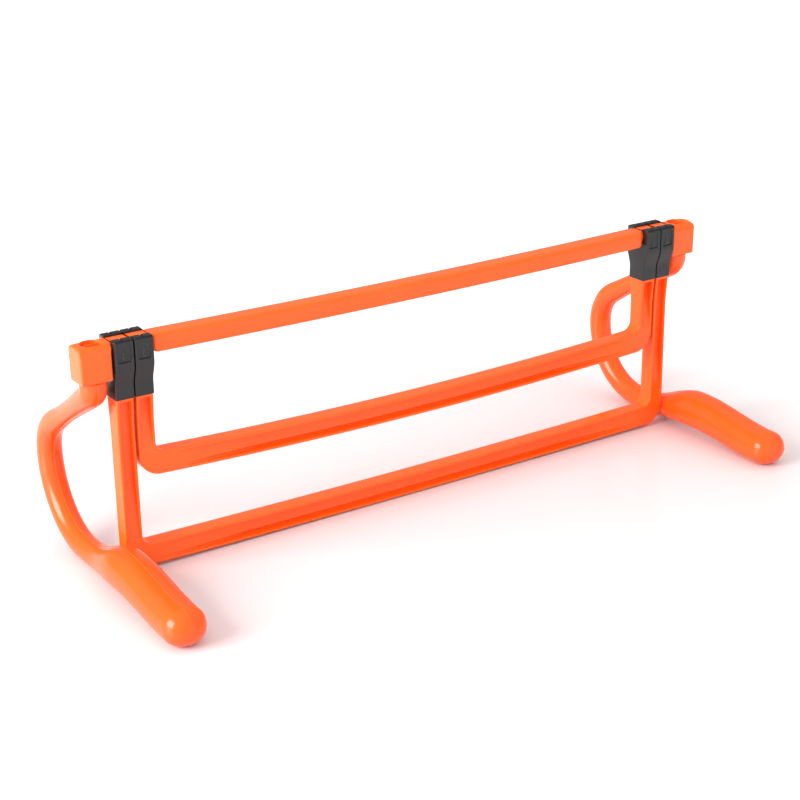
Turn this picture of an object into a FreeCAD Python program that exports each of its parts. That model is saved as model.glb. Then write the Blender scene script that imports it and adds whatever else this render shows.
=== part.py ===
import FreeCAD, Part
import math
import os

# Adjustable three-height mini hurdle, in millimetres.
# +X runs along the crossbar, -Y is the side the feet point to, +Z is up.
# The pieces are drawn with the crossbar over y = 0 and moved on saving, so that the origin
# ends up on the floor under the middle of the whole object.

# ---- crossbar ----
bar_length = 470.0          # over both heads
bar_top = 150.0             # height of the bar's top at its ends
bar_depth = 15.0            # front to back
bar_height = 11.5
bar_sag = 1.7               # the moulding dips this much at mid-span
bar_edge = 2.2              # rounding of the long edges
head_length = 20.0
head_depth = 17.5
head_height = 22.5
head_crown = 5.0            # rounding of the head's front and rear top edges
head_edge = 1.2             # rounding of the head's other edges
seat_radius = 6.0           # round neck that the clips turn on
seat_flat = 4.4             # its flat top, level with the bar's, lies this far above its axis
seat_root = 6.2             # the neck runs on this far into the bar
leg_inset = 10.5            # the legs' centre from the bar's end

# ---- clips ----
clip_width = 12.0
clip_side_gap = 0.8         # free space beside each clip
clip_height = 37.5          # from its bottom to the tips of its prongs
clip_rise = 5.6             # the tips stand this far above the seat's axis
clip_foot_depth = 14.6      # front to back at the arm
clip_jaw_depth = 21.4       # front to back across the prongs
clip_mouth = 8.9            # snap opening between the lips
clip_fit = 0.06             # radial running clearance on the seat
clip_tip_round = 1.4
clip_tip_flare = 1.2        # lead-in that widens the mouth at the tips
clip_swell_low = 8.0        # the swell from foot to jaw starts this far up
clip_swell_high = 22.0      # and ends this far up
panel_width = 8.2           # sunk panel on the outside of each prong
panel_height = 10.8
panel_lift = 23.9           # its bottom lies this far above the clip's
panel_depth = 0.7
arrow_width = 4.2           # raised wedge in the panel, apex up
arrow_height = 6.5
arrow_lift = 0.9            # the wedge's base lies this far above the panel's bottom
tip_notch = 1.4             # notch across each lip, at mid-width
tip_notch_depth = 0.8

# ---- swinging U frames ----
arm_width = 11.0
arm_top_depth = 14.0        # front to back where the arm meets its clip
arm_taper = 18.0            # the arm thins to the rail's depth over this length
rail_height = 14.2
rail_depth = 11.2
large_rail_bottom = 2.4     # height of the rail's underside at its ends
small_rail_bottom = 60.6
large_rail_sag = 1.6
small_rail_sag = 4.4
bend_outer = 14.0
bend_inner = 7.0
rim = 2.0                   # flange left round each pocket
rail_pocket = 4.0
arm_pocket = 5.0
arm_pocket_lift = 2.0       # the arm pocket runs out this far above the bend
rail_pocket_inset = 4.0     # and the rail pocket this far from the bend
rail_pocket_ramp = 60.0     # the rail pocket runs out over this length at each end
large_arm_ramp = 38.0
small_arm_ramp = 26.0
tenon_width = 7.5           # tongue on each arm that plugs into its clip
tenon_depth = 9.5
tenon_length = 13.0
tenon_fit = 0.1

# ---- legs ----
leg_radius = 8.0            # the round bent tube part
collar_radius = 8.3
waist_radius = 6.6          # the tube at its thinnest
waist_place = 0.62          # how far down the sloping run that place is
seam_gap = 0.2              # between the collar and the head's underside
leg_drop = 3.0              # straight stretch under the head
neck_bend = 8.5             # bend radius where the tube turns to the back
leg_slope = 31.0            # degrees below level on the way back
leg_reach = 78.5            # rearmost point of the tube's centreline
leg_reach_height = 56.0
heel_rise = 0.4             # ground off flat under the heel and the toe
heel_step = 0.08            # the foot stands proud of the tube by this much where it starts
foot_start = 16.0           # y where the tube starts to thicken
foot_full = -30.0           # y where the foot is full size
toe_end = -114.0            # y of the toe's tip
foot_half_width = 13.2
foot_half_height = 13.0
toe_half_height = 11.7
foot_arch = 4.4             # clear height under the middle of the foot, before grinding
peg_radius = 4.6
peg_fit = 0.06
peg_barb = 0.8              # snap lip beyond the peg's radius
peg_slit = 1.8
peg_solid = 7.0             # the slit starts this far up the head
peg_lead = 0.6              # the lip's top is this much under the shaft's radius
socket_radius = 6.2         # recess in the head's top round the peg
socket_depth = 5.5
peg_sink = 1.6              # the peg's top lies this far under the head's top

# ---- places worked out from the sizes above ----
head_inner = bar_length / 2 - head_length
outer_clip_x = head_inner - clip_side_gap - clip_width / 2
inner_clip_x = outer_clip_x - clip_width - clip_side_gap
seat_inner = inner_clip_x - clip_width / 2 - clip_side_gap
leg_x = bar_length / 2 - leg_inset
head_bottom = bar_top - head_height
pivot_z = bar_top - seat_flat
clip_bottom = pivot_z + clip_rise - clip_height
bore_radius = seat_radius + clip_fit
heel_bend = leg_reach_height - leg_radius + heel_rise
heel_y = leg_reach - heel_bend
crown_y = toe_end + foot_half_width
middle_y = (toe_end + leg_reach + leg_radius) / 2


def vec(x, y, z):
    return FreeCAD.Vector(x, y, z)


def box(x0, x1, y0, y1, z0, z1):
    return Part.makeBox(x1 - x0, y1 - y0, z1 - z0, vec(x0, y0, z0))


def cylinder_x(radius, x0, x1, y, z):
    return Part.makeCylinder(radius, x1 - x0, vec(x0, y, z), vec(1, 0, 0))


def cylinder_z(radius, x, y, z0, z1):
    return Part.makeCylinder(radius, z1 - z0, vec(x, y, z0))


def prism_x(points, x0, x1):
    """Outline of (y, z) points carried from x0 to x1."""
    corners = [vec(x0, y, z) for y, z in points]
    face = Part.Face(Part.makePolygon(corners + corners[:1]))
    return face.extrude(vec(x1 - x0, 0, 0))


def prism_y(edges, y0, y1):
    """Closed run of edges in the plane y = 0 carried from y0 to y1."""
    face = Part.Face(Part.Wire(edges))
    face.translate(vec(0, y0, 0))
    return face.extrude(vec(0, y1 - y0, 0))


def bowed_edge(x0, x1, z, sag):
    """Shallow arc from (x0, z) to (x1, z), dipping by sag in the middle."""
    middle = vec((x0 + x1) / 2, 0, z - sag)
    return Part.Arc(vec(x0, 0, z), middle, vec(x1, 0, z)).toShape()


def line(a, b):
    return Part.LineSegment(a, b).toShape()


def mirrored(shape):
    return shape.mirror(vec(0, 0, 0), vec(1, 0, 0))


# ---- crossbar: one moulding ----
def bar_span():
    """The bar between the clip seats, bowed down in the middle, rounded all over."""
    top = bar_top
    bottom = bar_top - bar_height
    ends = [(-seat_inner, top), (seat_inner, top), (seat_inner, bottom), (-seat_inner, bottom)]
    corner = [vec(x, 0, z) for x, z in ends]
    outline = [bowed_edge(-seat_inner, seat_inner, top, bar_sag), line(corner[1], corner[2]),
               bowed_edge(-seat_inner, seat_inner, bottom, bar_sag), line(corner[3], corner[0])]
    span = prism_y(outline, -bar_depth / 2, bar_depth / 2)
    return span.makeFillet(bar_edge, span.Edges)


def head():
    """Box head at the right end, with the leg's bore and the recess for its snap peg."""
    block = box(head_inner, bar_length / 2, -head_depth / 2, head_depth / 2, head_bottom, bar_top)
    crown = [e for e in block.Edges
             if abs(e.CenterOfMass.z - bar_top) < 0.01 and abs(e.CenterOfMass.y) > 1]
    block = block.makeFillet(head_crown, crown)
    outer = [e for e in block.Edges if abs(e.CenterOfMass.x - bar_length / 2) < 0.01]
    block = block.makeFillet(head_edge, outer)
    bore = cylinder_z(peg_radius + peg_fit, leg_x, 0, head_bottom - 1, bar_top)
    recess = cylinder_z(socket_radius, leg_x, 0, bar_top - socket_depth, bar_top + 1)
    return block.cut(bore.fuse(recess))


def crossbar():
    x0, x1 = seat_inner - seat_root, head_inner + head_edge
    seat = cylinder_x(seat_radius, x0, x1, 0, pivot_z)
    seat = seat.common(box(x0, x1, -seat_radius, seat_radius, pivot_z - seat_radius, bar_top))
    end = head().fuse(seat)
    bar = bar_span().fuse([end, mirrored(end)])
    return bar.removeSplitter()


# ---- clips: forks that snap over the seats ----
def clip_outline():
    """Half of the fork's side view, as (y, z) points up the outside."""
    foot = clip_foot_depth / 2
    jaw = clip_jaw_depth / 2
    steps = 8
    points = [(foot, clip_bottom)]
    for i in range(steps + 1):
        t = i / steps
        swell = (1 - math.cos(math.pi * t)) / 2
        z = clip_bottom + clip_swell_low + (clip_swell_high - clip_swell_low) * t
        points.append((foot + (jaw - foot) * swell, z))
    return points + [(jaw, clip_bottom + clip_height)]


def prong_panel(x):
    """Cutter for the sunk panel on the front prong, with the raised wedge left standing."""
    face = -clip_jaw_depth / 2
    low = clip_bottom + panel_lift
    high = low + panel_height
    half = panel_width / 2
    panel = box(x - half, x + half, face - 1, face + panel_depth, low, high)
    base_z = low + arrow_lift
    wedge_points = [vec(x - arrow_width / 2, face + panel_depth, base_z),
                    vec(x + arrow_width / 2, face + panel_depth, base_z),
                    vec(x, face + panel_depth, base_z + arrow_height)]
    wedge_face = Part.Face(Part.makePolygon(wedge_points + wedge_points[:1]))
    return panel.cut(wedge_face.extrude(vec(0, -panel_depth, 0)))


def clip(x):
    right = clip_outline()
    left = [(-y, z) for y, z in reversed(right)]
    body = prism_x(right + left, x - clip_width / 2, x + clip_width / 2)
    tip_z = clip_bottom + clip_height
    tips = [e for e in body.Edges
            if abs(e.CenterOfMass.z - tip_z) < 0.01 and abs(e.CenterOfMass.y) > 1]
    body = body.makeFillet(clip_tip_round, tips)
    x0, x1 = x - clip_width, x + clip_width
    seat = cylinder_x(bore_radius, x0, x1, 0, pivot_z)
    half = clip_mouth / 2
    wide = half + 2 * clip_tip_flare
    flare_side = [(half, pivot_z), (half, tip_z - clip_tip_flare), (wide, tip_z + clip_tip_flare)]
    mouth = prism_x(flare_side + [(-y, z) for y, z in reversed(flare_side)], x0, x1)
    notch = box(x - tip_notch / 2, x + tip_notch / 2, -clip_jaw_depth, clip_jaw_depth,
                tip_z - tip_notch_depth, tip_z + 1)
    socket = box(x - tenon_width / 2 - tenon_fit, x + tenon_width / 2 + tenon_fit,
                 -tenon_depth / 2 - tenon_fit, tenon_depth / 2 + tenon_fit,
                 clip_bottom - 1, clip_bottom + tenon_length + tenon_fit)
    front = prong_panel(x)
    rear = front.mirror(vec(0, 0, 0), vec(0, 1, 0))
    return body.cut([seat, mouth, notch, socket, front, rear])


# ---- U frames ----
def rounded_u(arm_x, top, rail_bottom, sag, inset):
    """Edges of the U's outline in the plane y = 0, drawn in by inset all round."""
    outer = arm_x + arm_width / 2 - inset
    inner = arm_x - arm_width / 2 + inset
    low = rail_bottom + inset
    high = rail_bottom + rail_height - inset
    r_out = bend_outer - inset
    r_in = bend_inner + inset
    cap = top - inset
    slant = math.sin(math.pi / 4)

    def bend(side, edge, z, radius):
        """Corner arc that leaves the arm's edge and lands level on the rail."""
        centre = vec(side * (edge - radius), 0, z + radius)
        on_arm = centre + vec(side * radius, 0, 0)
        between = centre + vec(side * radius * slant, 0, -radius * slant)
        on_rail = centre + vec(0, 0, -radius)
        return on_arm, between, on_rail

    ol = bend(-1, outer, low, r_out)
    outer_right = bend(1, outer, low, r_out)
    il = bend(-1, inner, high, r_in)
    inner_right = bend(1, inner, high, r_in)
    return [line(vec(-outer, 0, cap), ol[0]), Part.Arc(*ol).toShape(),
            bowed_edge(ol[2].x, outer_right[2].x, low, sag),
            Part.Arc(*reversed(outer_right)).toShape(), line(outer_right[0], vec(outer, 0, cap)),
            line(vec(outer, 0, cap), vec(inner, 0, cap)),
            line(vec(inner, 0, cap), inner_right[0]), Part.Arc(*inner_right).toShape(),
            bowed_edge(inner_right[2].x, il[2].x, high, sag),
            Part.Arc(*reversed(il)).toShape(), line(il[0], vec(-inner, 0, cap)),
            line(vec(-inner, 0, cap), vec(-outer, 0, cap))]


def pocket_fill(arm_x, top, rail_bottom, arm_ramp):
    """Everything in front of the pocket floors: wedges that run out towards the bends."""
    far = arm_top_depth
    skin = rail_depth / 2
    arm_end = rail_bottom + bend_outer + arm_pocket_lift
    wide = arm_x + arm_width
    arm_floor = [(-far, top), (-(arm_top_depth / 2 - arm_pocket), top),
                 (-(skin - rail_pocket), arm_end + arm_ramp), (-skin, arm_end), (-far, arm_end)]
    arms = prism_x(arm_floor, -wide, -arm_x + arm_width / 2)
    arms = arms.fuse(prism_x(arm_floor, arm_x - arm_width / 2, wide))
    rail_end = arm_x - bend_outer - rail_pocket_inset
    deep = rail_end - rail_pocket_ramp
    floor = [vec(-rail_end, -skin, 0), vec(-deep, -skin + rail_pocket, 0), vec(deep, -skin + rail_pocket, 0),
             vec(rail_end, -skin, 0), vec(rail_end, -far, 0), vec(-rail_end, -far, 0)]
    face = Part.Face(Part.makePolygon(floor + floor[:1]))
    face.translate(vec(0, 0, rail_bottom - 10))
    rails = face.extrude(vec(0, 0, rail_height + 10))
    return arms.fuse(rails)


def u_frame(arm_x, rail_bottom, sag, arm_ramp):
    top = clip_bottom
    half = arm_top_depth / 2
    blank = prism_y(rounded_u(arm_x, top, rail_bottom, sag, 0.0), -half, half)
    thin = rail_depth / 2
    below = rail_bottom - sag - 5
    front_side = [(-half, top), (-thin, top - arm_taper), (-thin, below)]
    rear_side = [(-y, z) for y, z in reversed(front_side)]
    side = front_side + rear_side
    wide = arm_x + arm_width
    body = blank.common(prism_x(side, -wide, wide))
    region = prism_y(rounded_u(arm_x, top, rail_bottom, sag, rim), -2 * half, 0)
    front = region.common(pocket_fill(arm_x, top, rail_bottom, arm_ramp))
    rear = front.mirror(vec(0, 0, 0), vec(0, 1, 0))
    body = body.cut([front, rear])
    for side_x in (-arm_x, arm_x):
        tenon = box(side_x - tenon_width / 2, side_x + tenon_width / 2, -tenon_depth / 2, tenon_depth / 2,
                    top - rim, top + tenon_length)
        body = body.fuse(tenon)
    return body


# ---- legs ----
def smooth(t):
    t = min(max(t, 0.0), 1.0)
    return t * t * (3 - 2 * t)


def bend(radius, centre_y, centre_z, reach, start, end):
    """Round tube bent in the Y-Z plane; angles are 0 towards +Y and 90 upwards."""
    a = math.radians(start)
    middle = vec(leg_x, centre_y + reach * math.cos(a), centre_z + reach * math.sin(a))
    along = vec(0, -math.sin(a), math.cos(a))
    disc = Part.Face(Part.Wire(Part.Circle(middle, along, radius).toShape()))
    return disc.revolve(vec(leg_x, centre_y, centre_z), vec(1, 0, 0), end - start)


def tube(top):
    """Collar, bend, sloping run with its waist, and the two arcs down to the heel."""
    slope = math.radians(leg_slope)
    shoulder_z = top - leg_drop
    collar = cylinder_z(collar_radius, leg_x, 0, shoulder_z, top)
    neck = bend(collar_radius, neck_bend, shoulder_z, neck_bend, 180.0, 270.0 - leg_slope)
    y1 = neck_bend * (1 - math.sin(slope))
    z1 = shoulder_z - neck_bend * math.cos(slope)
    # the arc that carries the sloping run round to straight down at the rearmost point
    over = z1 - leg_reach_height - math.tan(slope) * (leg_reach - y1)
    rear_bend = over * math.cos(slope) / (1 - math.sin(slope))
    run_y = leg_reach - rear_bend * (1 - math.sin(slope)) - y1
    run = run_y / math.cos(slope)
    down = vec(0, math.cos(slope), -math.sin(slope))
    start = vec(leg_x, y1, z1)
    waist = start + down * (run * waist_place)
    upper = Part.makeCone(collar_radius, waist_radius, run * waist_place, start, down)
    lower = Part.makeCone(waist_radius, leg_radius, run * (1 - waist_place), waist, down)
    rear = bend(leg_radius, leg_reach - rear_bend, leg_reach_height, rear_bend, 90.0 - leg_slope, 0.0)
    heel = bend(leg_radius, heel_y, leg_reach_height, heel_bend, 0.0, -90.0)
    return collar.fuse([neck, upper, lower, rear, heel])


def foot_sections():
    """Sections of the foot as (y, z, half width, half height), heel to toe."""
    sections = []
    steps = 12
    for i in range(1, steps + 1):
        y = heel_y + (crown_y - heel_y) * i / steps
        grow = smooth((foot_start - y) / (foot_start - foot_full))
        fall = smooth((foot_full - y) / (foot_full - crown_y))
        width = leg_radius + (foot_half_width - leg_radius) * grow
        height = leg_radius + (foot_half_height - leg_radius) * grow
        height -= (foot_half_height - toe_half_height) * fall
        arch = foot_arch * math.sin(math.pi * i / steps) ** 2
        sections.append((y, height - heel_rise + arch, width, height))
    y, z, width, height = sections[-1]
    for a in (25, 45, 62, 76, 85):
        c = math.cos(math.radians(a))
        sections.append((y - (y - toe_end) * math.sin(math.radians(a)), z, width * c, height * c))
    return sections


def oval(y, z, half_width, half_height):
    """Smooth upright ring across the foot."""
    points = []
    count = 16
    for i in range(count):
        t = 2 * math.pi * i / count
        points.append(vec(leg_x + half_width * math.cos(t), y, z + half_height * math.sin(t)))
    curve = Part.BSplineCurve()
    curve.interpolate(points, PeriodicFlag=True)
    return Part.Wire(curve.toShape())


def leg():
    """Right leg: bent tube and thick foot in one moulding, with the split snap peg on top."""
    top = head_bottom - seam_gap
    start = leg_radius + heel_step
    rings = [oval(heel_y, leg_radius - heel_rise, start, start)]
    rings += [oval(*section) for section in foot_sections()]
    foot = Part.makeLoft(rings, True, False)
    side = 2 * collar_radius
    floor = box(leg_x - side, leg_x + side, 2 * toe_end, 2 * leg_reach, -leg_radius, 0)
    return tube(top).fuse(foot).cut(floor).fuse(snap_peg(top))


def snap_peg(top):
    """Shaft through the head, barbed lip over the recess floor, and a slit that lets it squeeze."""
    floor_z = bar_top - socket_depth
    tip_z = bar_top - peg_sink
    lip_z = floor_z + seam_gap
    shaft = cylinder_z(peg_radius, leg_x, 0, top - leg_drop, lip_z + peg_lead)
    height = tip_z - lip_z
    lip = Part.makeCone(peg_radius + peg_barb, peg_radius - peg_lead, height, vec(leg_x, 0, lip_z))
    slit = box(leg_x - 10, leg_x + 10, -peg_slit / 2, peg_slit / 2, head_bottom + peg_solid, bar_top + 1)
    return shaft.fuse(lip).cut(slit)


def save(name, shape):
    solids = shape.Solids
    if len(solids) != 1:
        raise ValueError(name + " has " + str(len(solids)) + " solids")
    solid = solids[0]
    solid.translate(vec(0, -middle_y, 0))
    solid.exportStep("parts/" + name + ".step")
    print(name, round(solid.Volume / 1000, 2), "cm3", solid.isValid())


os.makedirs("parts", exist_ok=True)
save("crossbar", crossbar())
right_leg = leg()
save("right_leg", right_leg)
save("left_leg", mirrored(right_leg))
save("large_frame", u_frame(outer_clip_x, large_rail_bottom, large_rail_sag, large_arm_ramp))
save("small_frame", u_frame(inner_clip_x, small_rail_bottom, small_rail_sag, small_arm_ramp))
save("large_frame_clip_right", clip(outer_clip_x))
save("large_frame_clip_left", clip(-outer_clip_x))
save("small_frame_clip_right", clip(inner_clip_x))
save("small_frame_clip_left", clip(-inner_clip_x))
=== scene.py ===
import bpy
import math
import numpy as np
from mathutils import Matrix, Vector


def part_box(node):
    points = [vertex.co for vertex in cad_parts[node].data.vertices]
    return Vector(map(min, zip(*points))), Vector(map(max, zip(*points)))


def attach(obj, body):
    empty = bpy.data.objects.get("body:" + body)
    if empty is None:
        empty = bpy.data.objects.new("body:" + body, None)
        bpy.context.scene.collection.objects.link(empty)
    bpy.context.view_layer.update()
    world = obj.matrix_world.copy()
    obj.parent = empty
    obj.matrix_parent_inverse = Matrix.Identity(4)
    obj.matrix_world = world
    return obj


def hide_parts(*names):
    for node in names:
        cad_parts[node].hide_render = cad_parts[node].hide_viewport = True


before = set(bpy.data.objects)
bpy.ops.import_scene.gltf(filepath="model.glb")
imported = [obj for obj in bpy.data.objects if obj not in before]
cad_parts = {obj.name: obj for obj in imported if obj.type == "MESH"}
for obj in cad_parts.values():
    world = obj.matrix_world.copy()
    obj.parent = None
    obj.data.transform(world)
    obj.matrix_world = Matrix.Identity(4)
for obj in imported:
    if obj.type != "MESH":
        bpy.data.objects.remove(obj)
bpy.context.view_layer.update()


# ---- Crossbar ----
# One solid moulding in orange polypropylene: a bar with rounded long edges that dips a
# little at mid-span, a round neck at each end for the clips to turn on, and a box head
# at each end, arched over its top, with a round well where the leg's peg comes through.

def box_mm(node):
    """Lowest and highest corner of a node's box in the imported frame, in millimetres."""
    return np.array(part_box(node)) * 1000.0


def skin_faces(rings, start):
    """Faces of a closed skin over an (m, n, 3) stack of rings, its points numbered from start.

    Quads join each ring to the next, one flat face shuts each end, and if the signed volume
    (the sum of a . (b x c) / 6 over the triangles) is negative every face is turned round.
    """
    m, n, _ = rings.shape
    points = rings.reshape(-1, 3)
    row = np.arange(m - 1)[:, None] * n
    here = np.arange(n)[None, :]
    after = (here + 1) % n
    quads = np.stack([row + here, row + after, row + n + after, row + n + here], -1).reshape(-1, 4)
    first = np.arange(n)[::-1]
    last = np.arange(n) + (m - 1) * n
    corners = [quads[:, [0, 1, 2]], quads[:, [0, 2, 3]]]
    for end in (first, last):
        corners.append(np.stack([np.full(n - 2, end[0]), end[1:-1], end[2:]], -1))
    a, b, c = (points[np.concatenate(corners)] - points.mean(0)).transpose(1, 0, 2)
    if np.einsum("ij,ij->", a, np.cross(b, c)) < 0:
        quads, first, last = quads[:, ::-1], first[::-1], last[::-1]
    return (quads + start).tolist() + [(first + start).tolist(), (last + start).tolist()]


def piece(name, stacks, material, crease=35.0):
    """One object in metres, skinned over stacks of rings in millimetres.

    Its faces are smooth but for edges sharper than crease degrees.
    """
    faces = []
    count = 0
    for rings in stacks:
        faces += skin_faces(rings, count)
        count += rings.shape[0] * rings.shape[1]
    points = np.concatenate([rings.reshape(-1, 3) for rings in stacks])
    mesh = bpy.data.meshes.new(name)
    mesh.from_pydata((points * 0.001).tolist(), [], faces)
    mesh.shade_smooth()
    mesh.set_sharp_from_angle(angle=math.radians(crease))
    mesh.materials.append(material)
    made = bpy.data.objects.new(name, mesh)
    bpy.context.scene.collection.objects.link(made)
    return made


def linear(hex_colour):
    """sRGB hex to linear RGBA."""
    s = np.array([int(hex_colour[i:i + 2], 16) for i in (1, 3, 5)]) / 255.0
    rgb = np.where(s <= 0.04045, s / 12.92, ((s + 0.055) / 1.055) ** 2.4)
    return (*rgb.tolist(), 1.0)


def add(owner, kind, settings=None, **inputs):
    """Adds a node to a material or world: settings are its properties, inputs its sockets.

    An input is a value or a socket to link. n6 is input number 6, and an underscore in any
    other name stands for a space.
    """
    tree = owner.node_tree
    made = tree.nodes.new(kind)
    for key, value in (settings or {}).items():
        setattr(made, key, value)
    for key, value in inputs.items():
        numbered = key[0] == "n" and key[1:].isdigit()
        socket = made.inputs[int(key[1:]) if numbered else key.replace("_", " ")]
        if isinstance(value, bpy.types.NodeSocket):
            tree.links.new(value, socket)
        else:
            socket.default_value = value
    return made


def orange_polypropylene(name, light_hex, deep_hex, low_gloss, high_gloss):
    """Injection-moulded polypropylene with bright orange pigment.

    The skin copies a polished steel mould: the pigment swirls a few percent over 40 mm, the
    gloss changes over 15 mm, and a 1.5 mm orange-peel lies 0.02 mm deep under it.
    """
    made = bpy.data.materials.new(name)
    made.use_nodes = True
    tree = made.node_tree
    shader = tree.nodes["Principled BSDF"]
    place = add(made, "ShaderNodeTexCoord").outputs["Object"]
    swirl = add(made, "ShaderNodeTexNoise", Vector=place, Scale=25.0, Detail=3.0, Distortion=0.6)
    pigment = add(made, "ShaderNodeMix", {"data_type": "RGBA"}, n0=swirl.outputs["Fac"],
                  n6=linear(light_hex), n7=linear(deep_hex))
    patch = add(made, "ShaderNodeTexNoise", Vector=place, Scale=65.0, Detail=4.0)
    gloss = add(made, "ShaderNodeMapRange", Value=patch.outputs["Fac"], From_Min=0.3, From_Max=0.7,
                To_Min=low_gloss, To_Max=high_gloss)
    peel = add(made, "ShaderNodeTexNoise", Vector=place, Scale=650.0, Detail=2.0)
    bump = add(made, "ShaderNodeBump", Height=peel.outputs["Fac"], Strength=0.12, Distance=0.00012)
    tree.links.new(pigment.outputs[2], shader.inputs["Base Color"])
    tree.links.new(gloss.outputs["Result"], shader.inputs["Roughness"])
    tree.links.new(bump.outputs["Normal"], shader.inputs["Normal"])
    shader.inputs["IOR"].default_value = 1.49
    shader.inputs["Specular IOR Level"].default_value = 0.45
    return made


orange_satin = orange_polypropylene("orange_polypropylene_satin", "#FC5F12", "#F8560E", 0.22, 0.32)

bar_low, bar_high = box_mm("crossbar")
bar_y = (bar_low[1] + bar_high[1]) / 2
bar_end, bar_top, head_bottom = bar_high[0], bar_high[2], bar_low[2]
head_length, leg_inset = 20.0, 10.5
head_inner = bar_end - head_length
leg_x = bar_end - leg_inset
neck_radius, neck_flat = 6.0, 4.4
pivot_z = bar_top - neck_flat
clip_low, clip_high = box_mm("small_frame_clip_right")
clip_room = 0.8
span_end = clip_low[0] - clip_room


def quarter_turns(steps):
    """Angles of four quarter circles, one after the other, each with both its ends."""
    return np.concatenate([np.linspace(0, math.pi / 2, steps) + q * math.pi / 2 for q in range(4)])


def round_over(depth, radius):
    """How far a quarter circle of that radius has drawn in, depth past its start: r - sqrt(r^2 - d^2)."""
    depth = np.clip(depth, 0.0, radius)
    return radius - np.sqrt(np.maximum(radius ** 2 - depth ** 2, 0.0))


def corner_ring(y_half, z_low, z_high, r_top, r_bottom, steps=8):
    """Rings round rectangles with quarter-circle corners, one ring for each entry of the arrays."""
    turn = quarter_turns(steps)
    side = np.repeat([1, -1, -1, 1], steps)
    upper = np.repeat([True, True, False, False], steps)
    radius = np.where(upper, r_top[:, None], r_bottom[:, None])
    y = side * (y_half[:, None] - radius) + radius * np.cos(turn)
    z = np.where(upper, z_high[:, None] - radius, z_low[:, None] + radius) + radius * np.sin(turn)
    return y, z


def bar_span():
    """The 15 x 11.5 mm bar: rounded rectangles along X, drawn in by quarter circles at both ends."""
    half_width, thickness, dip = 7.5, 11.5, 1.7
    edge_above, edge_below = 3.0, 1.6
    end_side, end_above, end_below = 3.0, 0.4, 4.0
    swing = np.sin(np.linspace(0, math.pi / 2, 16))
    half = np.concatenate([np.linspace(0, span_end - end_below, 60)[:-1],
                           span_end - end_below + end_below * swing])
    x = np.concatenate([-half[:0:-1], half])
    side_in, above_in, below_in = (round_over(np.abs(x) - (span_end - radius), radius)
                                   for radius in (end_side, end_above, end_below))
    sag = dip * (1 - (x / span_end) ** 2)
    high = bar_top - sag - above_in
    low = bar_top - thickness - sag + below_in
    room = (high - low) / 2
    y, z = corner_ring(half_width - side_in, low, high, np.minimum(edge_above, room),
                       np.minimum(edge_below, room))
    return np.stack([np.broadcast_to(x[:, None], y.shape), y + bar_y, z], -1)


def shoulder(side):
    """Low block on the head's inner face that closes the neck's flat top up to the clip."""
    out_of_head, into_head, half_width, height, below_top = 0.5, 0.25, 6.2, 6.0, 0.02
    x = np.array([head_inner - out_of_head, head_inner + into_head])[:, None] * side
    y = np.array([-half_width, half_width, half_width, -half_width]) + bar_y
    z = np.array([-height, -height, -below_top, -below_top]) + bar_top
    return np.stack(np.broadcast_arrays(x, y, z), -1)


def neck(side):
    """Round seat for the clips, from inside the bar to inside the head, flat at the bar's top."""
    into_bar, into_head, below_top = 6.0, 2.0, 0.04
    x = np.array([span_end - into_bar, head_inner + into_head])[:, None] * side
    turn = np.linspace(0, 2 * math.pi, 65)[:-1]
    y = bar_y + neck_radius * np.cos(turn)
    z = np.minimum(pivot_z + neck_radius * np.sin(turn), bar_top - below_top)
    return np.stack(np.broadcast_arrays(x, y, z), -1)


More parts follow.
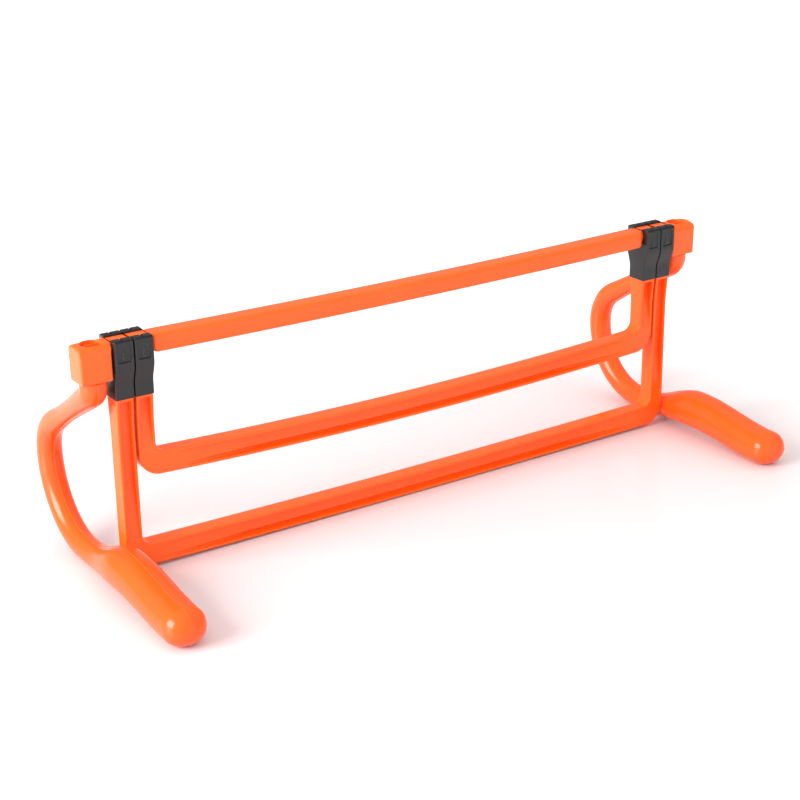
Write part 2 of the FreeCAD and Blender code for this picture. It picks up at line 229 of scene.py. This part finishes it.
def head(side):
    """Box head: rings from the middle of the well out over the arched top and down the walls.

    Seen from above, a ring is a circle for the well and turns by degrees into the head's
    rounded rectangle. The top's height is an arch of radius 5 towards front and back, less
    a quarter circle at the outer end and a crisp one beside the clips.
    """
    low_x, high_x = head_inner - leg_x, bar_end - leg_x
    y_half, corner, crisp, arch = 8.75, 1.3, 0.3, 5.0
    well, well_depth, well_fillet, well_foot, lip = 6.2, 5.5, 0.6, 0.5, 0.5
    draft, base_round, underside, middle = 0.985, 0.6, 4.0, 0.05
    steps, wall_steps = 12, 3
    turn = quarter_turns(steps)
    rim_x = (np.repeat([high_x - corner, low_x + corner, low_x + corner, high_x - corner], steps)
             + corner * np.cos(turn))
    rim_y = np.repeat([1, 1, -1, -1], steps) * (y_half - corner) + corner * np.sin(turn)
    count = len(turn)
    finer = np.linspace(0, count, count * wall_steps + 1)[:-1]
    rim_x, rim_y = (np.interp(finer, np.arange(count + 1), np.append(rim, rim[0]))
                    for rim in (rim_x, rim_y))
    angle = np.arctan2(rim_y, rim_x)

    def circle(radius, z):
        return np.stack([radius * np.cos(angle), radius * np.sin(angle), np.full_like(angle, z)], -1)

    floor_z = bar_top - well_depth
    rings = [circle(middle, floor_z), circle(well - well_fillet, floor_z),
             circle(well, floor_z + well_foot), circle(well, bar_top - lip)]
    rings += [circle(well + lip * (1 - math.cos(a)), bar_top - lip + lip * math.sin(a))
              for a in np.radians([22, 45, 67, 90])]
    lip_x, lip_y = (well + lip) * np.cos(angle), (well + lip) * np.sin(angle)
    for t in np.sin(np.linspace(0, math.pi / 2, 18))[1:]:
        x, y = lip_x + (rim_x - lip_x) * t, lip_y + (rim_y - lip_y) * t
        z = (bar_top - round_over(corner - (high_x - x), corner)
             - round_over(crisp - (x - low_x), crisp)
             - round_over(np.abs(y) - (y_half - arch), arch))
        rings.append(np.stack([x, y, z], -1))
    edge_z = rings[-1][:, 2]
    for t in np.linspace(0, 1, 9)[1:]:
        shrink = 1 - (1 - draft) * t
        z = edge_z + (head_bottom + base_round - edge_z) * t
        rings.append(np.stack([rim_x * shrink, rim_y * shrink, z], -1))
    for a in np.radians([30, 60, 90]):
        shrink = draft * (1 - base_round * (1 - math.cos(a)) / y_half)
        z = np.full_like(rim_x, head_bottom + base_round - base_round * math.sin(a))
        rings.append(np.stack([rim_x * shrink, rim_y * shrink, z], -1))
    rings += [circle(underside, head_bottom), circle(middle, head_bottom)]
    return np.stack(rings) * [side, 1, 1] + [side * leg_x, bar_y, 0]


bar = piece("hurdle_crossbar",
            [bar_span()] + [make(side) for make in (neck, shoulder, head) for side in (-1, 1)],
            orange_satin)
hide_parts("crossbar")
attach(bar, "bar_body")


# ---- Legs and feet ----
# Each leg is one orange polypropylene moulding: a round collar under the head, a bent tube
# that sweeps back and round to the floor, and a thick foot. A fine parting line runs all
# round it in its middle plane, and a split snap peg stands up through the head.

orange_gloss = orange_polypropylene("orange_polypropylene_glossy", "#FC5814", "#F84F10", 0.18, 0.28)

leg_low, leg_high = box_mm("right_leg")
toe_end = leg_low[1] - bar_y
tube_radius, collar_radius, waist_radius = 8.0, 8.35, 6.6
leg_reach = leg_high[1] - tube_radius - bar_y
reach_height = 56.0
heel_rise = 0.4
heel_bend = reach_height - tube_radius + heel_rise
heel_y = leg_reach - heel_bend
foot_half_width, foot_half_height, toe_half_height, foot_arch = 13.2, 13.0, 11.7, 4.4
crown_y = toe_end + foot_half_width


def ease(t):
    """0 to 1 with level ends: t * t * (3 - 2 t)."""
    t = np.clip(t, 0.0, 1.0)
    return t * t * (3 - 2 * t)


def leg_line():
    """Stations down the leg: y, z, heading in degrees, half width and half height.

    Straight down out of the head, an arc of 8.5 mm towards the back, a run 31 degrees below
    level, an arc that ends straight down at the rearmost point, a quarter circle to the heel,
    then forward over the arched sole to the toe, which closes as half an ellipse.
    """
    slope, bend = math.radians(31.0), 8.5
    under_head, collar_height, collar_round = 0.2, 3.0, 0.5
    narrow_from, waist_share, widen_past = 4.0, 0.62, 12.0
    foot_from, foot_growth, toe_from = 16.0, 46.0, -30.0

    top = head_bottom - under_head
    z0 = top - collar_height
    turn = np.linspace(0, math.pi / 2 - slope, 14)
    y1, z1 = bend * (1 - math.sin(slope)), z0 - bend * math.cos(slope)
    over = z1 - reach_height - math.tan(slope) * (leg_reach - y1)
    rear = over * math.cos(slope) / (1 - math.sin(slope))
    y2, z2 = leg_reach - rear * (1 - math.sin(slope)), reach_height + rear * math.cos(slope)
    t = np.linspace(0, 1, 26)[1:-1]
    round_rear = np.linspace(slope, math.pi / 2, 22)
    round_heel = np.linspace(0, math.pi / 2, 26)[1:]
    y = np.concatenate([[0.0, 0.0], bend * (1 - np.cos(turn)), y1 + (y2 - y1) * t,
                        leg_reach - rear + rear * np.sin(round_rear),
                        heel_y + heel_bend * np.cos(round_heel)])
    z = np.concatenate([[top, top - collar_round], z0 - bend * np.sin(turn), z1 + (z2 - z1) * t,
                        reach_height + rear * np.cos(round_rear),
                        reach_height - heel_bend * np.sin(round_heel)])
    heading = np.degrees(np.concatenate([[-math.pi / 2] * 2, turn - math.pi / 2,
                                         np.full(len(t), -slope), -round_rear,
                                         -math.pi / 2 - round_heel]))

    run = np.concatenate([[0.0], np.cumsum(np.hypot(np.diff(y), np.diff(z)))])
    slope_at, reach_at = run[2 + len(turn)], run[2 + len(turn) + len(t)]
    waist_at = slope_at + waist_share * (reach_at - slope_at)
    narrowing = ease((run - narrow_from) / (waist_at - narrow_from))
    widening = ease((run - waist_at) / (reach_at + widen_past - waist_at))
    radius = (collar_radius + (waist_radius - collar_radius) * narrowing
              + (tube_radius - waist_radius) * widening)
    radius[0] -= collar_round

    foot_y = np.linspace(heel_y, crown_y, 70)[1:]
    grow = ease((foot_from - foot_y) / foot_growth)
    fall = ease((toe_from - foot_y) / (toe_from - crown_y))
    width = tube_radius + (foot_half_width - tube_radius) * grow
    height = (tube_radius + (foot_half_height - tube_radius) * grow
              - (foot_half_height - toe_half_height) * fall)
    arch = foot_arch * np.sin(math.pi * (heel_y - foot_y) / (heel_y - crown_y)) ** 2
    foot_z = height - heel_rise + arch
    close = np.radians(np.concatenate([np.linspace(0, 84, 24)[1:], [87.0, 89.5]]))
    tip_y = crown_y - (crown_y - toe_end) * np.sin(close)
    return (np.concatenate([y, foot_y, tip_y]),
            np.concatenate([z, foot_z, np.full(len(close), foot_z[-1])]),
            np.concatenate([heading, np.full(len(foot_y) + len(close), -180.0)]),
            np.concatenate([radius, width, width[-1] * np.cos(close)]),
            np.concatenate([radius, height, height[-1] * np.cos(close)]))


def leg_skin(side):
    """Ovals across the leg's line, a little squarer than an ellipse at the foot, flat at z = 0.

    The parting line is a ridge 0.25 mm high, exp(-(d / 0.3)^2) across its width, where d is the
    distance in millimetres from the middle plane. It fades where the toe closes.
    """
    ridge_height, ridge_width, ridge_fade, squareness = 0.25, 0.3, 6.0, 0.12
    ridge_spread, ridge_clear = 0.055, 4.0
    y, z, heading, half_width, half_height = leg_line()
    fine = np.array([-0.9, -0.6, -0.4, -0.2, 0.0, 0.2, 0.4, 0.6, 0.9]) * ridge_spread
    plain = np.linspace(0, 2 * math.pi, 73)[:-1]
    beside = np.abs(np.degrees(plain) % 180 - 90) > ridge_clear
    turn = np.sort(np.concatenate([plain[beside], math.pi / 2 + fine, 1.5 * math.pi + fine]))
    full = ease((half_width[:, None] - tube_radius) / (foot_half_width - tube_radius))
    power = 1.0 - squareness * full
    ridge = ridge_height * np.clip(half_height[:, None] / ridge_fade, 0, 1)
    across_x = np.sign(np.cos(turn)) * np.abs(np.cos(turn)) ** power * half_width[:, None]
    across_u = np.sign(np.sin(turn)) * np.abs(np.sin(turn)) ** power * (half_height[:, None] - ridge)
    across_u += np.sign(across_u) * ridge * np.exp(-(across_x / ridge_width) ** 2)
    a = np.radians(heading)[:, None]
    out_y = np.maximum(bar_y + y[:, None] - np.sin(a) * across_u, toe_end + bar_y)
    out_z = np.maximum(z[:, None] + np.cos(a) * across_u, 0.0)
    return np.stack([side * (leg_x + across_x), out_y, out_z], -1)


def peg_half(side, half):
    """Half of the split peg: a D-shaped post with a hooked rim, rounded in at its top."""
    foot_up, half_slot = 8.0, 0.9
    below_top = np.array([5.2, 4.8, 2.4, 1.9, 1.6])
    levels = np.concatenate([[head_bottom + foot_up], bar_top - below_top])
    radius = np.array([4.6, 4.6, 5.4, 4.9, 4.6, 4.1])[:, None]
    turn = np.linspace(0, math.pi, 25)
    x = radius * np.cos(turn)
    y = np.maximum(radius * np.sin(turn), half_slot)
    z = np.broadcast_to(levels[:, None], x.shape)
    return np.stack([side * (leg_x + x), bar_y + half * y, z], -1)


for name, side in (("left", -1), ("right", 1)):
    leg = piece("hurdle_leg_" + name, [leg_skin(side), peg_half(side, 1), peg_half(side, -1)],
                orange_gloss)
    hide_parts(name + "_leg")
    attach(leg, name + "_leg_body")


# ---- Swinging U frames ----
# Two U-shaped rails in the same orange plastic. Each is a channel moulding: a web with a
# 2 mm rim all round, so that front and back have sunk pockets, deep at mid-span and under
# the clips and running out flush before the bends.

arm_width, rail_height, bend_outer, bend_inner = 11.0, 14.2, 14.0, 7.0
arm_top_half, rail_half, arm_taper = 7.0, 5.6, 18.0
rim_width, edge_round = 2.0, 0.8
clip_bottom = clip_low[2]


def u_outline(arm_x, rail_bottom, sag):
    """Inner and outer outline of the U in (x, z), matched point by point: arm, bend, bowed rail."""
    outer_x, inner_x = arm_x + arm_width / 2, arm_x - arm_width / 2
    high = rail_bottom + rail_height
    arm_length = clip_bottom - (rail_bottom + bend_outer)
    close_rows = np.array([0.0, 0.35, 0.7, 1.2, 1.7, 2.0, 2.3, 2.6, 3.2])
    t = np.concatenate([close_rows / arm_length, np.linspace(4.2 / arm_length, 1, 40)])
    arm_out = np.stack([np.full_like(t, outer_x), clip_bottom - t * arm_length], -1)
    arm_in = np.stack([np.full_like(t, inner_x), clip_bottom - t * (clip_bottom - high - bend_inner)], -1)
    a = np.linspace(0, math.pi / 2, 16)[1:]
    bend_out = np.stack([outer_x - bend_outer * (1 - np.cos(a)),
                         rail_bottom + bend_outer * (1 - np.sin(a))], -1)
    bend_in = np.stack([inner_x - bend_inner * (1 - np.cos(a)), high + bend_inner * (1 - np.sin(a))], -1)
    u = np.linspace(1, 0, 64)[1:]
    bow = sag * (1 - u ** 2)
    rail_out = np.stack([(outer_x - bend_outer) * u, rail_bottom - bow], -1)
    rail_in = np.stack([(inner_x - bend_inner) * u, high - bow], -1)
    mirror = np.array([-1.0, 1.0])
    halves = (np.concatenate([arm_in, bend_in, rail_in]), np.concatenate([arm_out, bend_out, rail_out]))
    return tuple(np.concatenate([half, half[-2::-1] * mirror]) for half in halves)


def frame_skin(arm_x, rail_bottom, sag, arm_ramp):
    """Channel section carried round the U.

    A ring runs from the inner to the outer edge over the front and back again behind. Its
    depth is the web's half depth, less a quarter circle at each edge, less the pocket: the
    ramped depth times ease() over the pocket's steep wall. A groove along the rail pocket's
    lower wall takes it 30 percent deeper, with a slight swell of exp(-d^2) beside it.
    """
    wall_width = 0.6
    groove_depth, groove_in, groove_width, groove_out = 0.3, 0.3, 1.5, 0.4
    swell_height, swell_at, swell_width = 0.05, 2.2, 0.2
    r, w = edge_round, rim_width
    arc = r * (1 - np.cos(np.radians([0, 18, 36, 54, 72, 90])))
    near = np.concatenate([arc, w + np.array([-0.35, -0.2, -0.05, 0.1, 0.25, 0.4])])
    slot = w + np.array([2.6, 2.35, 2.2, 2.05, 1.9, 1.75, 1.6, 1.3, 0.9])
    middle = np.array([0.25, 0.38, 0.5])
    plain = len(middle) + len(slot)
    share = np.concatenate([np.zeros(len(near)), middle, np.ones(len(slot) + len(near))])
    offset = np.concatenate([near, np.zeros(len(middle)), -slot, -near[::-1]])
    drop = round_over(r - near, r)
    drop = np.concatenate([drop, np.zeros(plain), drop[::-1]])
    wall = ease((near - (w - wall_width / 2)) / wall_width)
    wall = np.concatenate([wall, np.ones(plain), wall[::-1]])
    from_wall = np.concatenate([slot, near[::-1]]) - w
    groove = (groove_depth * ease(from_wall / groove_in)
              * (1 - ease((from_wall - groove_width) / groove_out)))
    groove -= swell_height * np.exp(-((from_wall - swell_at) / swell_width) ** 2)
    groove = np.concatenate([np.zeros(len(near) + len(middle)), groove])

    in_line, out_line = u_outline(arm_x, rail_bottom, sag)
    across = out_line - in_line
    length = np.hypot(across[:, 0], across[:, 1])[:, None]
    along = (share * length + offset) / length
    x = in_line[:, :1] + across[:, :1] * along
    z = in_line[:, 1:] + across[:, 1:] * along

    rail_depth, rail_ramp, before_bend = 4.0, 60.0, 4.0
    arm_web_half, pocket_top, above_bend, hair = 2.0, 1.7, 2.0, 0.01
    taper = np.clip(1 - (clip_bottom - z) / arm_taper, 0, 1)
    thick = rail_half + (arm_top_half - rail_half) * taper
    arm_end = rail_bottom + bend_outer + above_bend
    arm_floor = np.interp(z, [arm_end, arm_end + arm_ramp, clip_bottom],
                          [rail_half, rail_half - rail_depth, arm_web_half])
    on_arm = np.abs(x) > arm_x - arm_width / 2 - hair
    arm_pocket = (np.where(on_arm, np.maximum(thick - arm_floor, 0), 0)
                  * ease((clip_bottom - z - pocket_top) / wall_width))
    rail_end = arm_x - bend_outer - before_bend
    on_rail = ~on_arm * (z < rail_bottom + rail_height + hair)
    rail_pocket = on_rail * (1 + groove) * np.interp(np.abs(x), [rail_end - rail_ramp, rail_end],
                                                     [rail_depth, 0.0])
    y = thick - drop - wall * np.maximum(arm_pocket, rail_pocket)
    front = np.stack([x, bar_y - y, z], -1)
    back = np.stack([x, bar_y + y, z], -1)[:, ::-1]
    return np.concatenate([front, back], 1)


for name, sag, arm_ramp in (("large", 1.6, 38.0), ("small", 4.4, 26.0)):
    frame_low, frame_high = box_mm(name + "_frame")
    made = piece("hurdle_" + name + "_frame",
                 [frame_skin(frame_high[0] - arm_width / 2, frame_low[2] + sag, sag, arm_ramp)],
                 orange_satin, crease=50.0)
    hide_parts(name + "_frame")
    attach(made, name + "_frame_body")


# ---- Clips ----
# Black acetal forks that snap over the bar's necks and take the frames' arms in their feet.
# Seen from the side each swells from foot to jaw; both outer faces have a shallow sunk
# panel with a raised wedge, and each lip has a notch at mid-width.

# Acetal with carbon black: dark grey under soft light, satin, with a fine spark-eroded grain.
black_acetal = bpy.data.materials.new("black_acetal_moulded")
black_acetal.use_nodes = True
place = add(black_acetal, "ShaderNodeTexCoord").outputs["Object"]
tone = add(black_acetal, "ShaderNodeTexNoise", Vector=place, Scale=90.0, Detail=3.0)
shade = add(black_acetal, "ShaderNodeMix", {"data_type": "RGBA"}, n0=tone.outputs["Fac"],
            n6=linear("#1A191B"), n7=linear("#212022"))
grain = add(black_acetal, "ShaderNodeTexNoise", Vector=place, Scale=1400.0, Detail=2.0)
gloss = add(black_acetal, "ShaderNodeMapRange", Value=tone.outputs["Fac"], From_Min=0.3, From_Max=0.7,
            To_Min=0.3, To_Max=0.42)
relief = add(black_acetal, "ShaderNodeBump", Height=grain.outputs["Fac"], Strength=0.2, Distance=0.0001)
shader = black_acetal.node_tree.nodes["Principled BSDF"]
black_acetal.node_tree.links.new(shade.outputs[2], shader.inputs["Base Color"])
black_acetal.node_tree.links.new(gloss.outputs["Result"], shader.inputs["Roughness"])
black_acetal.node_tree.links.new(relief.outputs["Normal"], shader.inputs["Normal"])
shader.inputs["IOR"].default_value = 1.48

clip_tip = clip_high[2]
clip_width, clip_round, jaw_half = 12.0, 0.5, 10.7


def clip_outline():
    """Fork's side view as a closed loop of (y, z).

    Up the outside: foot corner, a cosine swell from 7.3 to 10.7 mm, a rounded tip; then down
    the lip's flat and round the bore, which is a circle about the pivot; mirrored for the back.
    """
    foot_half, mouth_half, bore = 7.3, 4.45, 6.06
    foot_corner, tip_corner, lead, lip_flat = 0.6, 1.7, 0.7, 2.0
    swell_low, swell_high = clip_bottom + 8.0, clip_bottom + 22.0
    q = np.linspace(0, math.pi / 2, 8)
    s = np.linspace(0, 1, 24)
    bore_turn = np.linspace(math.acos(mouth_half / bore), -math.pi / 2, 30)[:-1]
    y = np.concatenate([foot_half - foot_corner + foot_corner * np.sin(q),
                        foot_half + (jaw_half - foot_half) * (1 - np.cos(math.pi * s)) / 2,
                        np.full(48, jaw_half),
                        jaw_half - tip_corner + tip_corner * np.cos(q),
                        mouth_half + lead - lead * np.sin(q),
                        [mouth_half],
                        bore * np.cos(bore_turn)])
    z = np.concatenate([clip_bottom + foot_corner - foot_corner * np.cos(q),
                        swell_low + (swell_high - swell_low) * s,
                        np.linspace(swell_high, clip_tip - tip_corner, 50)[1:-1],
                        clip_tip - tip_corner + tip_corner * np.sin(q),
                        clip_tip - lead + lead * np.cos(q),
                        [clip_tip - lip_flat],
                        pivot_z + bore * np.sin(bore_turn)])
    return np.concatenate([y, [0.0], -y[::-1]]), np.concatenate([z, [pivot_z - bore], z[::-1]])


def clip_skin(middle_x):
    """The fork's outline carried across its width, drawn in by 0.5 mm quarter circles at both sides.

    The panel is 0.7 mm deep with walls 0.3 mm wide; the wedge inside it comes back up to the
    face, within a triangle whose half width falls from base to apex.
    """
    panel_half, panel_low, panel_high, panel_depth, soft = 4.1, 13.6, 2.8, 0.7, 0.3
    wedge_lift, wedge_height, wedge_half = 0.9, 6.5, 2.1
    notch_half, notch_depth, jaw_slack = 0.8, 0.8, 0.1
    y, z = clip_outline()
    dy, dz = np.roll(y, -1) - np.roll(y, 1), np.roll(z, -1) - np.roll(z, 1)
    size = np.hypot(dy, dz)
    out_y, out_z = dz / size, -dy / size
    flat = clip_width / 2 - clip_round
    quarter = clip_round * np.sin(np.linspace(0, math.pi / 2, 6))
    x = np.concatenate([-flat - quarter[::-1], np.linspace(-flat, flat, 56)[1:-1],
                        flat + quarter])[:, None]
    inset = round_over(np.abs(x) - flat, clip_round)
    low, high = clip_tip - panel_low, clip_tip - panel_high
    panel = ease((panel_half - np.abs(x)) / soft) * ease((z - low) / soft) * ease((high - z) / soft)
    base = low + wedge_lift
    apex = base + wedge_height
    slant = wedge_half * (apex - z) / (apex - base)
    wedge = ease((slant - np.abs(x)) / soft) * ease((z - base) / soft)
    on_jaw = np.abs(y) > jaw_half - jaw_slack
    ring_y = y - out_y * inset - np.sign(y) * panel_depth * panel * (1 - wedge) * on_jaw
    notch = clip_tip - notch_depth * ease((notch_half - np.abs(x)) / soft)
    ring_z = np.minimum(z - out_z * inset, notch)
    ring_x = np.broadcast_to(x + middle_x, ring_y.shape)
    return np.stack([ring_x, bar_y + ring_y, ring_z], -1)


for frame_name in ("large", "small"):
    for side_name in ("left", "right"):
        node_name = frame_name + "_frame_clip_" + side_name
        middle_x = box_mm(node_name).mean(0)[0]
        clip = piece("hurdle_" + frame_name + "_clip_" + side_name, [clip_skin(middle_x)],
                     black_acetal)
        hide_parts(node_name)
        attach(clip, frame_name + "_frame_body")


# ---- Floor, light and camera ----
# A white floor with painted shade and a painted orange glow where the hurdle stands, a bright
# overcast all round and two softboxes, one high on the left and one in front, and the camera
# low at the front left corner.

# Cast acrylic, polished: white with a soft reflection. Within 0.22 m of the middle its colour is
# darker and pinkish, painted shade and a painted orange glow of light bounced off the hurdle; it
# turns pure white by 0.5 m out, painted light that keeps the far floor white where the lamps fall off.
floor_white = bpy.data.materials.new("white_acrylic_floor_painted_shade")
floor_white.use_nodes = True
floor_shader = floor_white.node_tree.nodes["Principled BSDF"]
floor_place = add(floor_white, "ShaderNodeTexCoord").outputs["Object"]
# Painted shade and painted bounce glow: #DCD3D3 near the hurdle, fading to #FFFFFF further out.
floor_far = add(floor_white, "ShaderNodeVectorMath", {"operation": "LENGTH"}, n0=floor_place)
floor_painted_shade_fade = add(floor_white, "ShaderNodeMapRange", {"interpolation_type": "SMOOTHSTEP"},
                 Value=floor_far.outputs["Value"], From_Min=0.22, From_Max=0.5)
floor_painted_shade_and_glow = add(floor_white, "ShaderNodeMix", {"data_type": "RGBA"}, n0=floor_painted_shade_fade.outputs["Result"],
                 n6=linear("#DCD3D3"), n7=linear("#FFFFFF"))
floor_white.node_tree.links.new(floor_painted_shade_and_glow.outputs[2], floor_shader.inputs["Base Color"])
floor_shader.inputs["Roughness"].default_value = 0.22
floor_mesh = bpy.data.meshes.new("floor")
reach = 9.0
floor_corners = [(-reach, -reach, 0), (reach, -reach, 0), (reach, reach, 0), (-reach, reach, 0)]
floor_mesh.from_pydata(floor_corners, [], [(0, 1, 2, 3)])
floor_mesh.materials.append(floor_white)
floor = bpy.data.objects.new("floor", floor_mesh)
bpy.context.scene.collection.objects.link(floor)

# Mirror-like rays see a dimmer room than the floor and the soft shading do.
world = bpy.data.worlds.new("studio")
bpy.context.scene.world = world
world.use_nodes = True
background = world.node_tree.nodes["Background"]
background.inputs["Color"].default_value = (1.0, 1.0, 1.0, 1.0)
rays = add(world, "ShaderNodeLightPath")
room = add(world, "ShaderNodeMapRange", Value=rays.outputs["Is Glossy Ray"], To_Min=1.3, To_Max=0.38)
world.node_tree.links.new(room.outputs["Result"], background.inputs["Strength"])


def softbox(name, place, target, size, power):
    """Square area light at place, turned to face target."""
    lamp = bpy.data.lights.new(name, "AREA")
    lamp.shape = "SQUARE"
    lamp.size = size
    lamp.energy = power
    made = bpy.data.objects.new(name, lamp)
    made.location = place
    made.rotation_euler = (Vector(target) - Vector(place)).to_track_quat("-Z", "Y").to_euler()
    bpy.context.scene.collection.objects.link(made)


softbox("softbox_left", (-2.0, 0.1, 0.9), (0.0, 0.0, 0.08), 1.3, 66.0)
softbox("softbox_front", (0.5, -2.2, 0.6), (0.0, 0.0, 0.05), 1.6, 5.0)

azimuth, elevation, roll = (math.radians(v) for v in (-33.31, 21.16, -0.73))
forward = Vector((-math.sin(azimuth) * math.cos(elevation),
                  math.cos(azimuth) * math.cos(elevation), -math.sin(elevation)))
level = forward.cross(Vector((0, 0, 1))).normalized()
upright = level.cross(forward)
right = level * math.cos(roll) + upright * math.sin(roll)
up = upright * math.cos(roll) - level * math.sin(roll)
camera_data = bpy.data.cameras.new("camera")
camera_data.sensor_width = 36.0
camera_data.lens = 78.741
camera = bpy.data.objects.new("camera", camera_data)
pose = Matrix((right, up, -forward)).transposed().to_4x4()
pose.translation = Vector((-0.59933, -0.88154, 0.48177))
camera.matrix_world = pose
bpy.context.scene.collection.objects.link(camera)
bpy.context.scene.camera = camera
bpy.context.scene.view_settings.view_transform = "Standard"
